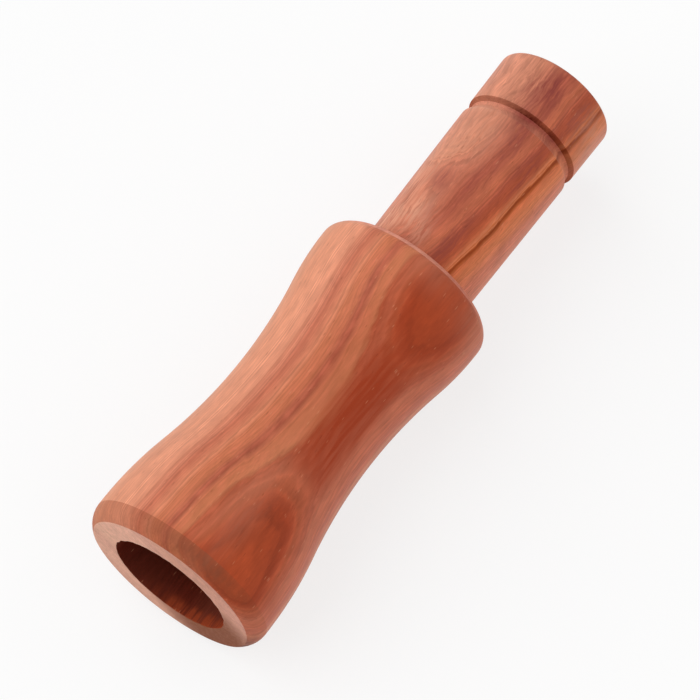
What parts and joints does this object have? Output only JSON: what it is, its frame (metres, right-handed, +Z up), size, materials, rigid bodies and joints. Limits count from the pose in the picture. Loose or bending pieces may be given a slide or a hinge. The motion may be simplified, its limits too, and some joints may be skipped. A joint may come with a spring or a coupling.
{
  "type": "bird call",
  "caption": "Turned wooden bird call: waisted barrel with a wide mouth bore, and a tapered pull-out insert with a lanyard groove, holding a tone board and its wedged reed.",
  "frame": {"origin": "on the turning axis at the mouth face, the centre of the mouth bore", "axes": "+X along the turning axis from the mouth face to the exhaust end, +Z up with the reed on the upper side, the call lying on its side"},
  "size_m": [0.12, 0.0368, 0.0368],
  "materials": {
    "barrel_wood": "satin",
    "insert_wood": "satin",
    "tone_board_plastic": "moulded",
    "reed_film": "clear film",
    "wedge_cork": "natural cork",
    "ring_rubber": "matte"
  },
  "bodies": {
    "barrel": {"barrel": "barrel_wood"},
    "seals": {"inner_o_ring": "ring_rubber", "outer_o_ring": "ring_rubber"},
    "insert": {"insert": "insert_wood", "tone_board": "tone_board_plastic", "reed_wedge": "wedge_cork"},
    "reed": {"reed": "reed_film"}
  },
  "joints": [
    {"name": "insert_slide", "type": "slide", "parent": "barrel", "child": "seals", "axis": [1, 0, 0], "range_m": [0, 0.065]},
    {"name": "insert_turn", "type": "hinge", "parent": "seals", "child": "insert", "pos_m": [0.0634, 0, 0], "axis": [1, 0, 0], "continuous": true},
    {"name": "reed_flex", "type": "hinge", "parent": "insert", "child": "reed", "pos_m": [0.0435, 0, 0.00105], "axis": [0, -1, 0], "range_deg": [0, 1.6], "stiffness_Nm_per_rad": 0.007}
  ]
}
